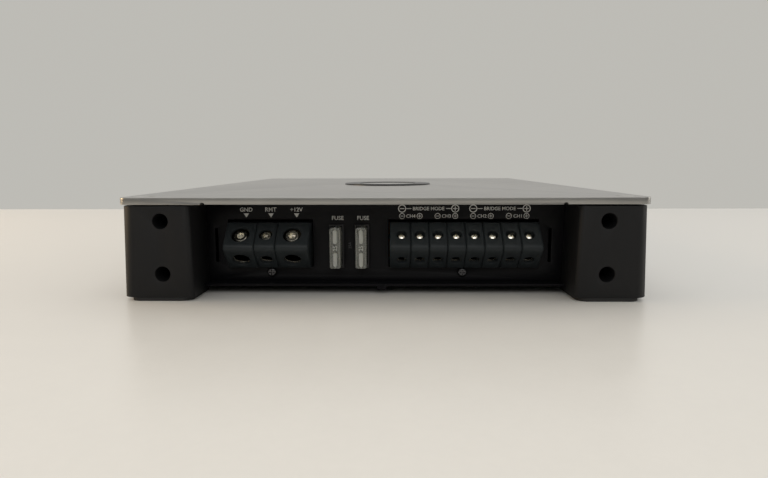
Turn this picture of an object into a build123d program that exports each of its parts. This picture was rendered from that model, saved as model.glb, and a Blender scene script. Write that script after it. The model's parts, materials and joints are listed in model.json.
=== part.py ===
from build123d import *
import os

# Four-channel car amplifier, in millimetres.
# +X runs to the right when facing the power and speaker end, +Y from that end towards
# the input end, +Z up. The origin is on the surface the feet stand on, below the middle
# of the top plate.

# ---- Driving dimensions ---------------------------------------------------------------
# Top plate: a brushed aluminium slab that overhangs the black body a little all round.
plate_length = 322.0
plate_width = 234.0
plate_thickness = 3.2
plate_corner_radius = 4.0
plate_edge_chamfer = 0.2
plate_end_overhang = 0.8
plate_side_overhang = 0.6
overall_height = 46.6
notch_offset = 79.4
notch_radius = 1.0
notch_depth = 8.0

# Countersunk mounting holes through the plate and the corner posts.
mounting_hole_radius = 2.75
mounting_sink_radius = 5.5
mounting_inset_x = 7.5
mounting_inset_y = 10.7

# Corner posts: cast blocks with a little draft, widest at the floor.
post_top_width = 30.4
post_outer_draft = 1.2
post_inner_draft = 0.8
post_depth = 30.0
post_outer_radius = 5.5
post_inner_radius = 2.5
shadow_gap = 0.6
pad_radius = 6.0
access_hole_radius = 3.5
access_hole_depth = 22.0
screw_low_z = 12.4
screw_high_z = 36.1
screw_inset = 17.7

# Rubber feet under the posts.
foot_height = 1.8
foot_outer_inset = 3.0
foot_inner_inset = 1.2
foot_end_inset = 0.6
foot_corner_radius = 5.0
foot_hole_radius = 3.1

# Heatsink extrusion.
deck_thickness = 4.0
deck_side_inset = 3.5
wall_thickness = 3.0
screw_boss_radius = 3.4
fin_thickness = 1.8
fin_count = 6
fin_first_z = 4.4
fin_last_z = 33.6
fin_tip_inset = 0.5
rail_width = 6.0
rail_height = 5.4
rail_inset = 0.8
boss_inset = 0.5

# Bottom cover, a steel sheet joggled upwards at each end into a tongue under the end panel.
cover_thickness = 1.1
cover_underside = 1.0
cover_side_margin = 1.1
cover_sink_rest = 0.2
cover_sink_radius = 3.1
cover_hole_radius = 1.7
cover_screw_head = 3.0
cover_screw_shank = 1.45
cover_screw_length = 4.6
tongue_lift = 2.8
tongue_side_gap = 0.3
tongue_setback = 15.0
tab_x = (-3.4, 1.2)
tab_drop = 1.4

# End panels, steel sheets held in grooves in the posts.
panel_recess = 24.0
panel_thickness = 1.5
panel_engagement = 1.2
groove_clearance = 0.1
slot_inset_left = 6.0
slot_inset_right = 7.7
slot_width = 1.5
slot_low_z = 13.9
slot_high_z = 30.4
opening_side_gap = 0.6
opening_top_gap = 1.3
opening_low_gap = 0.2

# Circuit board.
board_underside = 5.2
board_thickness = 1.6
board_wall_gap = 4.2
board_post_gap = 1.7
board_end_gap = 0.5

# Terminal blocks: a wedge nose with a screw in its upper face and a wire in its lower.
block_middle_z = 22.55
block_half_height = 10.8
nose_reach = 13.5
nose_radius = 2.5
block_back = 16.0
block_leg_depth = 6.0
pole_gap = 0.1
pole_chamfer = 0.5
screw_from_nose = 8.3
wire_from_nose = 9.2
clamp_start = 1.8
clamp_end = 14.0
clamp_pocket_gap = 0.1
clamp_end_wall = 1.5
tail_width = 1.6
tail_thickness = 1.0

power_block_left = -74.8
power_block_splits = (-60.35, -50.5)
power_block_right = -34.9
power_screw_x = (-67.4, -55.5, -43.1)
speaker_first_x = 8.3
speaker_pitch = 8.5
speaker_poles = 8
speaker_end_wall = 1.4

# Fuses and their holders.
fuse_x = (-23.0, -10.8)
fuse_middle_z = 21.67
fuse_width = 19.1
fuse_body_thickness = 5.1
fuse_body_depth = 12.2
fuse_proud = 8.0
fuse_waist = 0.5
blade_width = 5.2
blade_thickness = 0.65
blade_spacing = 14.3
blade_length = 7.3
blade_gap = 0.05
holder_rim = 0.9
holder_proud = 0.5
holder_fit = 0.2
holder_back = 15.0

# Fixing screws.
thread_clearance = 0.05
panel_screw_z = 9.0
panel_screw_length = 3.4
panel_screw_hole = 1.6
panel_screw_radius = 1.25
panel_head_radius = 2.25
panel_head_height = 1.6
bracket_half_width = 3.5
bracket_thickness = 0.8
bracket_leg = 2.2
front_panel_screw_x = (-54.6, 37.7)
rear_panel_screw_x = (-16.0, 40.0)

# Input end.
phono_x = (-70.0, -56.0)
phono_z = (16.0, 31.0)
phono_shell_radius = 4.15
phono_shell_wall = 0.45
phono_shell_length = 9.0
phono_collar = 0.3
phono_hole_gap = 0.15
phono_socket_radius = 1.6
control_z = 24.0
knob_names = ("level_knob_front", "crossover_knob_front", "level_knob_rear", "crossover_knob_rear")
knob_x = (-26.0, -6.0, 30.0, 50.0)
knob_radius = 4.75
knob_length = 6.0
knob_panel_gap = 0.4
shaft_radius = 1.5
switch_names = ("input_switch_slider", "mode_switch_front_slider", "mode_switch_rear_slider")
switch_x = (-40.0, 12.0, 66.0)
switch_rest = (-1.0, 0.0, 0.0)
switch_travel = (1.0, 2.0, 2.0)
slider_width = 3.0
slider_height = 2.6
slider_proud = 2.2
light_x = 75.0
light_z = (17.0, 31.0)
light_radius = 1.5

# Badge on the plate.
badge_radius = 30.0
badge_thickness = 1.6
badge_seat_depth = 0.6
badge_ring_width = 4.5
badge_dish_depth = 0.5

# ---- Places worked out from the driving dimensions ---------------------------------------
plate_under = overall_height - plate_thickness
post_top = plate_under - shadow_gap
post_face = plate_length / 2 - plate_end_overhang
post_back = post_face - post_depth
post_outer_top = plate_width / 2 - plate_side_overhang
post_inner_top = post_outer_top - post_top_width
post_outer_low = post_outer_top + post_outer_draft
post_inner_low = post_inner_top - post_inner_draft
mounting_x = plate_width / 2 - mounting_inset_x
mounting_y = plate_length / 2 - mounting_inset_y
screw_x = post_outer_top - screw_inset
screw_heights = (screw_low_z, screw_high_z)
cover_top = cover_underside + cover_thickness
tongue_under = cover_underside + tongue_lift
tongue_top = tongue_under + cover_thickness
deck_under = plate_under - deck_thickness
wall_inner = screw_x - wall_thickness - boss_inset
wall_outer = wall_inner + wall_thickness
rail_middle = wall_inner + rail_width / 2 - rail_inset
cover_half_width = rail_middle + rail_width / 2 + cover_side_margin
tongue_half_width = post_inner_low - tongue_side_gap
board_top = board_underside + board_thickness
board_wide_half = wall_inner - board_wall_gap
board_end_half = post_inner_low - board_post_gap
panel_face = post_face - panel_recess
panel_back = panel_face - panel_thickness
panel_half_width = post_inner_top + panel_engagement
slot_x = (slot_inset_left - panel_half_width, panel_half_width - slot_inset_right)
apex_y = -panel_face - nose_reach - nose_radius * (2**0.5 - 1)
block_shoulder_y = apex_y + block_half_height
block_back_y = -panel_back + block_back
block_low_z = block_middle_z - block_half_height
block_high_z = block_middle_z + block_half_height
speaker_x = [speaker_first_x + speaker_pitch * pole for pole in range(speaker_poles)]
speaker_block_left = speaker_x[0] - speaker_pitch / 2 - speaker_end_wall
speaker_block_right = speaker_x[-1] + speaker_pitch / 2 + speaker_end_wall

# Terminal sizes: clamp width, clamp depth from the upper face (start, end), wire bore,
# wire entry, screw access hole and screw.
POWER = dict(width=11.0, top=1.6, bottom=15.0, bore=3.8, entry=4.25, access=4.3, screw=3.45)
REMOTE = dict(width=7.6, top=1.6, bottom=14.4, bore=2.7, entry=3.15, access=3.15, screw=2.75)
SPEAKER = dict(width=6.6, top=5.2, bottom=14.4, bore=2.1, entry=2.5, access=2.55, screw=1.5)


# ---- Helpers ---------------------------------------------------------------------------------
def block(x, y, z):
    """A box between the (low, high) pairs given for each axis."""
    spans = (x, y, z)
    size = [high - low for low, high in spans]
    middle = [(high + low) / 2 for low, high in spans]
    return Pos(*middle) * Box(*size)


def rod(start, direction, radius, length):
    """A cylinder that starts at a point and runs along a direction."""
    place = Plane(origin=start, z_dir=direction).location
    return place * Cylinder(radius, length, align=(Align.CENTER, Align.CENTER, Align.MIN))


def cone(start, direction, start_radius, end_radius, length):
    """A cone frustum that starts at a point and runs along a direction."""
    place = Plane(origin=start, z_dir=direction).location
    frustum = Cone(start_radius, end_radius, length, align=(Align.CENTER, Align.CENTER, Align.MIN))
    return place * frustum


def bar(start, direction, sides, across_flats, length):
    """A regular prism that starts at a point and runs along a direction."""
    outline = RegularPolygon(across_flats / 2, sides, major_radius=False)
    place = Plane(origin=start, z_dir=direction)
    return extrude(place * outline, amount=length)


def spread(first, last, count):
    """Evenly spaced values, both ends included."""
    step = (last - first) / (count - 1)
    return [first + step * index for index in range(count)]


def save(name, *shapes):
    """Write one node, keeping each solid separate."""
    solids = [solid for shape in shapes for solid in shape.solids()]
    node = solids[0] if len(solids) == 1 else Compound(solids)
    export_step(node, f"parts/{name}.step")


# ---- Corner posts, feet and their screws ---------------------------------------------------
def corner_post():
    """The post at +X on the power end; the others are its mirror images."""
    outline = Polyline(
        (post_inner_low, foot_height),
        (post_outer_low, foot_height),
        (post_outer_top, post_top),
        (post_inner_top, post_top),
        close=True,
    )
    post = extrude(Plane.XZ.offset(post_face) * make_face(outline), amount=-post_depth)
    outer_edge = post.faces().sort_by(Axis.Y)[0].edges().sort_by(Axis.X)[-1]
    post = fillet(outer_edge, post_outer_radius)
    inner_edge = post.faces().sort_by(Axis.Y)[0].edges().sort_by(Axis.X)[0]
    post = fillet(inner_edge, post_inner_radius)
    post += rod((mounting_x, -mounting_y, post_top), (0, 0, 1), pad_radius, shadow_gap)
    post -= rod((mounting_x, -mounting_y, 0), (0, 0, 1), mounting_hole_radius, overall_height)
    groove_end = panel_half_width + groove_clearance
    post -= block(
        (post_inner_low - 1, groove_end),
        (-panel_face - groove_clearance, -panel_back + groove_clearance),
        (0, overall_height),
    )
    for z in screw_heights:
        post -= rod((screw_x, -post_face, z), (0, 1, 0), access_hole_radius, access_hole_depth)
        post -= rod((screw_x, -post_face, z), (0, 1, 0), 1.9, post_depth)
    return post


def rubber_foot():
    """A flat rubber foot with the mounting hole through it."""
    x_low = post_inner_low + foot_inner_inset
    x_high = post_outer_low - foot_outer_inset
    y_low = -post_face + foot_end_inset
    y_high = -post_back - foot_end_inset
    middle = ((x_low + x_high) / 2, (y_low + y_high) / 2)
    outline = Pos(*middle) * RectangleRounded(x_high - x_low, y_high - y_low, foot_corner_radius)
    foot = extrude(outline, amount=foot_height)
    return foot - rod((mounting_x, -mounting_y, 0), (0, 0, 1), foot_hole_radius, foot_height)


def post_screw(z):
    """A pan-head screw at the bottom of an access hole, into the heatsink."""
    seat = -post_face + access_hole_depth
    screw = rod((screw_x, seat - 2.2, z), (0, 1, 0), 3.1, 2.2)
    screw = fillet(screw.faces().sort_by(Axis.Y)[0].edges(), 0.8)
    screw += rod((screw_x, seat, z), (0, 1, 0), 1.75, 19.0)
    return screw - cross_recess((screw_x, seat - 2.2, z), (0, 1, 0), 3.4, 0.8, 1.3)


def cross_recess(start, direction, span, width, depth):
    """The crossed slots of a screwdriver recess, running into a head."""
    place = Plane(origin=start, z_dir=direction).location
    deep = (Align.CENTER, Align.CENTER, Align.MIN)
    return place * (Box(span, width, depth, align=deep) + Box(width, span, depth, align=deep))


def four_corners(shape):
    """A corner piece and its mirror images: front right, front left, rear right, rear left."""
    front_left = mirror(shape, about=Plane.YZ)
    rear_right = mirror(shape, about=Plane.XZ)
    return [shape, front_left, rear_right, mirror(rear_right, about=Plane.YZ)]


def build_posts():
    names = ("front_right_post", "front_left_post", "rear_right_post", "rear_left_post")
    for name, post in zip(names, four_corners(corner_post())):
        save(name, post)
    save("rubber_feet", *four_corners(rubber_foot()))
    screws = [copy for z in screw_heights for copy in four_corners(post_screw(z))]
    save("post_screws", *screws)


# ---- Top plate and badge ---------------------------------------------------------------------
def plate_screw_places():
    half = post_back - 30.0
    return [(x, y) for x in (-wall_inner + 35.0, wall_inner - 35.0) for y in (-half, 0.0, half)]


def top_plate():
    outline = RectangleRounded(plate_width, plate_length, plate_corner_radius)
    plate = extrude(Plane.XY.offset(plate_under) * outline, amount=plate_thickness)
    rims = plate.faces().sort_by(Axis.Z)[0].edges() + plate.faces().sort_by(Axis.Z)[-1].edges()
    plate = chamfer(rims, plate_edge_chamfer)
    sink_depth = mounting_sink_radius - mounting_hole_radius
    for x in (-mounting_x, mounting_x):
        for y in (-mounting_y, mounting_y):
            plate -= rod((x, y, plate_under), (0, 0, 1), mounting_hole_radius, plate_thickness)
            plate -= cone(
                (x, y, overall_height), (0, 0, -1), mounting_sink_radius, mounting_hole_radius, sink_depth
            )
    plate -= rod((0, 0, overall_height - badge_seat_depth), (0, 0, 1), badge_radius + 0.1, 5)
    for x, y in plate_screw_places():
        plate -= rod((x, y, plate_under), (0, 0, 1), 1.5, plate_thickness - 1.0)
    for x in (-notch_offset, notch_offset):
        for end in (-1, 1):
            start = end * (plate_length / 2 - notch_depth)
            plate -= rod((x, start, plate_under), (0, end, 0), notch_radius, notch_depth)
    return plate


def plate_screw(x, y):
    """A hidden screw, up through the heatsink deck into the plate."""
    screw = rod((x, y, deck_under - 2.0), (0, 0, 1), 2.8, 2.0)
    screw += rod((x, y, deck_under), (0, 0, 1), 1.5 - thread_clearance, deck_thickness + 1.9)
    return screw - bar((x, y, deck_under - 2.0), (0, 0, 1), 6, 2.5, 1.2)


def badge():
    """A round medallion with a raised ring and a dished centre."""
    seat = overall_height - badge_seat_depth
    disc = rod((0, 0, seat), (0, 0, 1), badge_radius, badge_thickness)
    disc = fillet(disc.faces().sort_by(Axis.Z)[-1].edges(), 0.5)
    dish = rod(
        (0, 0, seat + badge_thickness - badge_dish_depth),
        (0, 0, 1),
        badge_radius - badge_ring_width,
        badge_dish_depth,
    )
    return disc - dish


def build_top():
    save("top_plate", top_plate())
    save("top_plate_screws", *[plate_screw(x, y) for x, y in plate_screw_places()])
    save("badge", badge())


# ---- Heatsink and bottom cover ---------------------------------------------------------------
def body_half_width(z):
    """Half the width across the drafted posts at a height."""
    share = (z - foot_height) / (post_top - foot_height)
    return post_outer_low + (post_outer_top - post_outer_low) * share


def cover_screw_places():
    ys = spread(-post_back + 12.0, post_back - 12.0, 4)
    return [(x, y) for x in (-rail_middle, rail_middle) for y in ys]


def heatsink():
    """An aluminium extrusion: deck, side walls with fins, screw bosses and rails."""
    run = (-post_back, post_back)
    deck_half = post_outer_top - deck_side_inset
    sink = block((-deck_half, deck_half), run, (deck_under, plate_under))
    for side in (-1, 1):
        wall = sorted((side * wall_inner, side * wall_outer))
        sink += block(wall, run, (cover_top, deck_under))
        rail_low = rail_middle - rail_width / 2
        rail = sorted((side * rail_low, side * (rail_low + rail_width)))
        sink += block(rail, run, (cover_top, cover_top + rail_height))
        for z in screw_heights:
            sink += rod((side * screw_x, -post_back, z), (0, 1, 0), screw_boss_radius, 2 * post_back)
        for z in spread(fin_first_z, fin_last_z, fin_count):
            tip = body_half_width(z) - fin_tip_inset
            fin = sorted((side * wall_outer, side * tip))
            sink += block(fin, run, (z - fin_thickness / 2, z + fin_thickness / 2))
    for x, y in plate_screw_places():
        sink -= rod((x, y, deck_under), (0, 0, 1), 1.7, deck_thickness)
    for x, y in cover_screw_places():
        tapped = cover_screw_shank + thread_clearance
        sink -= rod((x, y, cover_top), (0, 0, 1), tapped, cover_screw_length)
    for x in (-screw_x, screw_x):
        for z in screw_heights:
            for end in (-1, 1):
                sink -= rod((x, end * post_back, z), (0, -end, 0), 1.75 + thread_clearance, 13.0)
    return sink


def bottom_cover():
    sheet = block((-cover_half_width, cover_half_width), (-post_back, post_back), (cover_underside, cover_top))
    reach = post_face - tongue_setback
    width = (-tongue_half_width, tongue_half_width)
    for end in (-1, 1):
        riser = sorted((end * (post_back - cover_thickness), end * post_back))
        tongue = sorted((end * (post_back - cover_thickness), end * reach))
        tab = sorted((end * (reach - cover_thickness), end * reach))
        sheet += block(width, riser, (cover_underside, tongue_top))
        sheet += block(width, tongue, (tongue_under, tongue_top))
        sheet += block(tab_x, tab, (tongue_under - tab_drop, tongue_top))
    sink_depth = cover_thickness - cover_sink_rest
    for x, y in cover_screw_places():
        sheet -= rod((x, y, cover_underside), (0, 0, 1), cover_hole_radius, cover_thickness)
        sheet -= cone((x, y, cover_underside), (0, 0, 1), cover_sink_radius, cover_hole_radius, sink_depth)
    for x, y in standoff_places():
        sheet -= rod((x, y, cover_underside), (0, 0, 1), 1.5, cover_thickness)
    return sheet


def cover_screw(x, y):
    """A countersunk screw, up through the cover into the heatsink's rail."""
    base = (x, y, cover_underside)
    screw = cone(base, (0, 0, 1), cover_screw_head, cover_screw_shank, cover_thickness - cover_sink_rest)
    screw += rod(base, (0, 0, 1), cover_screw_shank, cover_thickness + cover_screw_length - 0.2)
    return screw - cross_recess(base, (0, 0, 1), 3.0, 0.7, 1.0)


def build_body():
    save("heatsink", heatsink())
    save("bottom_cover", bottom_cover())
    save("bottom_cover_screws", *[cover_screw(x, y) for x, y in cover_screw_places()])


# ---- End panels, brackets and panel screws -------------------------------------------------
def blank_panel():
    """A plain sheet at the power end, with the two narrow slots beside the posts."""
    sheet = block(
        (-panel_half_width, panel_half_width), (-panel_face, -panel_back), (tongue_top, plate_under)
    )
    for x in slot_x:
        slot = (x - slot_width / 2, x + slot_width / 2)
        sheet -= block(slot, (-panel_face, -panel_back), (slot_low_z, slot_high_z))
    return sheet


def power_end_panel():
    sheet = blank_panel()
    depth = (-panel_face, -panel_back)
    height = (block_low_z - opening_low_gap, block_high_z + opening_top_gap)
    for left, right in ((power_block_left, power_block_right), (speaker_block_left, speaker_block_right)):
        sheet -= block((left - opening_side_gap, right + opening_side_gap), depth, height)
    half_x = fuse_body_thickness / 2 + holder_rim + 0.15
    half_z = fuse_width / 2 + holder_rim + 0.15
    for x in fuse_x:
        sheet -= block((x - half_x, x + half_x), depth, (fuse_middle_z - half_z, fuse_middle_z + half_z))
    for x in front_panel_screw_x:
        sheet -= rod((x, -panel_face, panel_screw_z), (0, 1, 0), panel_screw_hole, panel_thickness)
    return sheet


def input_end_panel():
    sheet = mirror(blank_panel(), about=Plane.XZ)
    phono_hole_radius = phono_shell_radius + phono_collar + phono_hole_gap
    for x in phono_x:
        for z in phono_z:
            sheet -= rod((x, panel_back, z), (0, 1, 0), phono_hole_radius, panel_thickness)
    for x in knob_x:
        sheet -= rod((x, panel_back, control_z), (0, 1, 0), shaft_radius + 0.6, panel_thickness)
    for x, travel in zip(switch_x, switch_travel):
        half = slider_width / 2 + travel + 0.4
        height = (control_z - slider_height / 2 - 0.4, control_z + slider_height / 2 + 0.4)
        sheet -= block((x - half, x + half), (panel_back, panel_face), height)
    for z in light_z:
        sheet -= rod((light_x, panel_back, z), (0, 1, 0), light_radius + 0.1, panel_thickness)
    for x in rear_panel_screw_x:
        sheet -= rod((x, panel_back, panel_screw_z), (0, 1, 0), panel_screw_hole, panel_thickness)
    return sheet


def panel_screw(x):
    """A pan-head screw through the power-end panel into a board bracket."""
    top = (x, -panel_face - panel_head_height, panel_screw_z)
    screw = rod(top, (0, 1, 0), panel_head_radius, panel_head_height)
    screw = fillet(screw.faces().sort_by(Axis.Y)[0].edges(), 0.9)
    screw += rod((x, -panel_face, panel_screw_z), (0, 1, 0), panel_screw_radius, panel_screw_length)
    return screw - cross_recess(top, (0, 1, 0), 2.8, 0.6, 1.1)


def panel_bracket(x):
    """A small angle bracket that ties the power-end panel to the board."""
    sides = (x - bracket_half_width, x + bracket_half_width)
    upright = (-panel_back, -panel_back + bracket_thickness)
    foot = (-panel_back, -panel_back + bracket_leg)
    bracket = block(sides, upright, (board_top, panel_screw_z + panel_head_radius))
    bracket += block(sides, foot, (board_top, board_top + bracket_thickness))
    tapped = panel_screw_radius + thread_clearance
    return bracket - rod((x, -panel_face, panel_screw_z), (0, 1, 0), tapped, panel_screw_length)


def build_panels():
    save("power_end_panel", power_end_panel())
    save("input_end_panel", input_end_panel())
    front = [panel_screw(x) for x in front_panel_screw_x]
    rear = [mirror(panel_screw(x), about=Plane.XZ) for x in rear_panel_screw_x]
    save("panel_screws", *front, *rear)
    front = [panel_bracket(x) for x in front_panel_screw_x]
    rear = [mirror(panel_bracket(x), about=Plane.XZ) for x in rear_panel_screw_x]
    save("panel_brackets", *front, *rear)


# ---- Terminal blocks ---------------------------------------------------------------------------
def nose_frame(x):
    """The frame of one pole: origin on the sharp nose line, local Y up the upper face,
    local Z straight out of it, so the screw runs along local Z and the wire along local Y."""
    return Plane(origin=(x, apex_y, block_middle_z), x_dir=(1, 0, 0), z_dir=(0, -1, 1)).location


def clamp_body(size, grow):
    """The clamp's block in the pole's frame, grown all round by a clearance."""
    half = size["width"] / 2 + grow
    along = (clamp_start - grow, clamp_end + grow)
    return block((-half, half), along, (-size["bottom"] - grow, -size["top"] + grow))


def clamp_tail(x, size, grow):
    """The solder tail that drops from the clamp's rear corner to the board."""
    corner_y = apex_y + (clamp_end + size["bottom"]) / 2**0.5
    corner_z = block_middle_z + (clamp_end - size["bottom"]) / 2**0.5
    depth = (corner_y - 0.4 - tail_thickness - grow, corner_y - 0.4 + grow)
    half = tail_width / 2 + grow
    return block((x - half, x + half), depth, (board_top, corner_z))


def terminal_clamp(x, size):
    """A plated brass clamp with a wire bore and a tapped screw hole."""
    clamp = clamp_body(size, 0)
    clamp -= rod((0, 0, -wire_from_nose), (0, 1, 0), size["bore"], clamp_end - clamp_end_wall)
    hole_radius = size["screw"] + thread_clearance
    clamp -= rod((0, screw_from_nose, -wire_from_nose), (0, 0, 1), hole_radius, wire_from_nose)
    return nose_frame(x) * clamp + clamp_tail(x, size, 0)


def terminal_housing(left, right, x, size):
    """One plastic pole, with its screw access, wire entry and clamp pocket."""
    outline = Polyline(
        (block_back_y, block_high_z),
        (block_shoulder_y, block_high_z),
        (apex_y, block_middle_z),
        (block_shoulder_y, block_low_z),
        (block_back_y - block_leg_depth, block_low_z),
        (block_back_y - block_leg_depth, board_top),
        (block_back_y, board_top),
        close=True,
    )
    housing = extrude(Plane.YZ.offset(left) * make_face(outline), amount=right - left)
    nose = housing.edges().filter_by(Axis.X).sort_by(Axis.Y)[0]
    housing = fillet(nose, nose_radius)
    front_edges = [
        edge
        for side in (housing.faces().sort_by(Axis.X)[0], housing.faces().sort_by(Axis.X)[-1])
        for edge in side.edges()
        if edge.center().Y < block_shoulder_y
    ]
    housing = chamfer(front_edges, pole_chamfer)
    bores = clamp_body(size, clamp_pocket_gap)
    bores += rod((0, -2, -wire_from_nose), (0, 1, 0), size["entry"], clamp_start + 2)
    bores += rod((0, screw_from_nose, -size["top"]), (0, 0, 1), size["access"], size["top"] + 2)
    housing -= nose_frame(x) * bores
    return housing - clamp_tail(x, size, clamp_pocket_gap)


def set_screw(x, size, socket):
    """A hexagon-socket set screw, its tip just clear of the wire bore."""
    top = -0.9
    tip = -wire_from_nose + size["bore"] + 0.25
    screw = rod((0, screw_from_nose, top), (0, 0, -1), size["screw"], top - tip)
    screw = chamfer(screw.edges().filter_by(GeomType.CIRCLE), 0.4)
    screw -= bar((0, screw_from_nose, top), (0, 0, -1), 6, socket, 2.2)
    return nose_frame(x) * screw


def domed_screw(x, size):
    """A domed cross-recess screw, its tip just clear of the wire bore."""
    head_top = -0.8
    head_height = 1.7
    tip = -wire_from_nose + size["bore"] + 0.25
    head = rod((0, screw_from_nose, head_top), (0, 0, -1), 2.15, head_height)
    head = fillet(head.faces().sort_by(Axis.Z)[-1].edges(), 1.1)
    shank_length = head_top - head_height - tip
    head += rod((0, screw_from_nose, head_top - head_height), (0, 0, -1), size["screw"], shank_length)
    head -= cross_recess((0, screw_from_nose, head_top), (0, 0, -1), 2.6, 0.65, 1.0)
    return nose_frame(x) * head


def power_poles():
    """Left side, right side, screw place and size of each power pole."""
    sides = (power_block_left, *power_block_splits, power_block_right)
    return list(zip(sides[:-1], sides[1:], power_screw_x, (POWER, REMOTE, POWER)))


def speaker_poles_list():
    """The same for the speaker poles, the end ones with a thicker outer wall."""
    poles = []
    for x in speaker_x:
        left = speaker_block_left if x == speaker_x[0] else x - speaker_pitch / 2
        right = speaker_block_right if x == speaker_x[-1] else x + speaker_pitch / 2
        poles.append((left, right, x, SPEAKER))
    return poles


def build_terminals():
    for name, poles in (("power", power_poles()), ("speaker", speaker_poles_list())):
        gap = pole_gap / 2
        housings = [terminal_housing(left + gap, right - gap, x, size) for left, right, x, size in poles]
        save(f"{name}_terminal_housings", *housings)
        save(f"{name}_terminal_clamps", *[terminal_clamp(x, size) for _, _, x, size in poles])
    save("ground_screw", set_screw(power_screw_x[0], POWER, 3.2))
    save("remote_screw", set_screw(power_screw_x[1], REMOTE, 2.5))
    save("positive_screw", set_screw(power_screw_x[2], POWER, 3.2))
    for number, x in enumerate(speaker_x, start=1):
        save(f"speaker_screw_{number}", domed_screw(x, SPEAKER))


# ---- Fuses -------------------------------------------------------------------------------------
def blade_heights():
    return (fuse_middle_z - blade_spacing / 2, fuse_middle_z + blade_spacing / 2)


fuse_front_y = -panel_face - holder_proud - fuse_proud
fuse_back_y = fuse_front_y + fuse_body_depth
blade_tip_y = fuse_back_y + blade_length


def fuse_body(x):
    """A clear body, hollow around the blades and the link, waisted below its head."""
    half = fuse_body_thickness / 2
    low = fuse_middle_z - fuse_width / 2
    high = fuse_middle_z + fuse_width / 2
    body = block((x - half, x + half), (fuse_front_y, fuse_back_y), (low, high))
    body = fillet(body.edges().filter_by(Axis.Y), 0.9)
    head_end = fuse_front_y + fuse_proud - 1.0
    for side in (-1, 1):
        face = x + side * half
        sides = sorted((face - side * fuse_waist, face + side * 1.0))
        body -= block(sides, (head_end, fuse_back_y + 1), (low - 1, high + 1))
    hollow = (x - blade_thickness / 2 - blade_gap, x + blade_thickness / 2 + blade_gap)
    reach = blade_spacing / 2 + blade_width / 2 + blade_gap
    middle = (fuse_middle_z - reach, fuse_middle_z + reach)
    return body - block(hollow, (fuse_front_y + 1.2, fuse_back_y), middle)


def fuse_element(x):
    """Two blades joined by a thin link."""
    sides = (x - blade_thickness / 2, x + blade_thickness / 2)
    start = fuse_front_y + 1.2 + blade_gap
    shapes = []
    for z in blade_heights():
        shapes.append(block(sides, (start, blade_tip_y), (z - blade_width / 2, z + blade_width / 2)))
    low, high = blade_heights()
    link_y = start + 2.6
    link = block((x - 0.2, x + 0.2), (link_y, link_y + 1.4), (low + 2, high - 2))
    return shapes[0] + shapes[1] + link


def fuse_holder(x):
    """A moulded holder that frames the fuse and stands on the board."""
    half_x = fuse_body_thickness / 2 + holder_rim
    half_z = fuse_width / 2 + holder_rim
    front = -panel_face - holder_proud
    back = -panel_back + holder_back
    low = fuse_middle_z - half_z
    high = fuse_middle_z + half_z
    holder = block((x - half_x, x + half_x), (front, back), (low, high))
    holder += block((x - half_x, x + half_x), (back - 9.0, back), (board_top, low))
    pocket_x = fuse_body_thickness / 2 + holder_fit
    pocket_z = fuse_width / 2 + holder_fit
    pocket_end = fuse_back_y + holder_fit
    pocket = ((x - pocket_x, x + pocket_x), (front, pocket_end))
    holder -= block(*pocket, (fuse_middle_z - pocket_z, fuse_middle_z + pocket_z))
    for z in blade_heights():
        holder -= contact_envelope(x, z, pocket_end, 0.1)
    return holder


def contact_envelope(x, z, start, grow):
    """The space of one spring contact behind the fuse pocket."""
    half_x = 1.5 + grow
    half_z = blade_width / 2 + 0.5 + grow
    return block((x - half_x, x + half_x), (start, blade_tip_y + 1.0 + grow), (z - half_z, z + half_z))


def fuse_contact(x, z):
    """A forked spring contact that grips one blade."""
    start = fuse_back_y + holder_fit + 0.1
    contact = contact_envelope(x, z, start, 0)
    slit = (x - blade_thickness / 2 - blade_gap, x + blade_thickness / 2 + blade_gap)
    blade_room = blade_width / 2 + 1
    return contact - block(slit, (start, blade_tip_y + 0.2), (z - blade_room, z + blade_room))


def build_fuses():
    for side, x in zip(("left", "right"), fuse_x):
        save(f"fuse_{side}_body", fuse_body(x))
        save(f"fuse_{side}_element", fuse_element(x))
    save("fuse_holders", *[fuse_holder(x) for x in fuse_x])
    save("fuse_contacts", *[fuse_contact(x, z) for x in fuse_x for z in blade_heights()])


# ---- Circuit board and what stands on it ---------------------------------------------------
inductor_gap = 12.2
toroid_gap = 17.5
capacitor_gap = 6.0
toroid_outer = 24.0
toroid_inner = 11.0
toroid_height = 18.0
winding_wall = 3.0
capacitor_radius = 11.0
capacitor_height = 28.0
capacitor_x = spread(-54.0, 54.0, 4)
inductor_radius = 6.5
inductor_height = 16.0
inductor_y = block_back_y + inductor_gap + inductor_radius
inductor_places = [(x, inductor_y) for x in spread(8.0, 68.0, 4)]
toroid_y = inductor_y + inductor_radius + toroid_gap + toroid_outer
capacitor_y = toroid_y + toroid_outer + winding_wall + capacitor_gap + capacitor_radius
transistor_end_gap = 52.2
transistor_y = spread(-post_back + transistor_end_gap, post_back - transistor_end_gap, 8)
transistor_z = (13.0, 29.0)
transistor_thickness = 4.4
pad_thickness = 0.3
clip_thickness = 1.2


def standoff_places():
    half = post_back - 18.0
    return [(x, y) for x in (-board_end_half + 5.0, board_end_half - 5.0) for y in (-half, 0.0, half)]


def circuit_board():
    wide = post_back - 1.0
    long = panel_back - board_end_gap
    height = (board_underside, board_top)
    board = block((-board_wide_half, board_wide_half), (-wide, wide), height)
    board += block((-board_end_half, board_end_half), (-long, long), height)
    for x, y in standoff_places():
        board -= rod((x, y, board_underside), (0, 0, 1), 1.6, board_thickness)
    return board


def standoff(x, y):
    """A threaded standoff riveted into the bottom cover."""
    post = bar((x, y, cover_top), (0, 0, 1), 6, 5.5, board_underside - cover_top)
    post += rod((x, y, cover_underside), (0, 0, 1), 1.5, cover_thickness)
    return post - rod((x, y, cover_underside + 0.6), (0, 0, 1), 1.0 + thread_clearance, board_underside)


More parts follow.
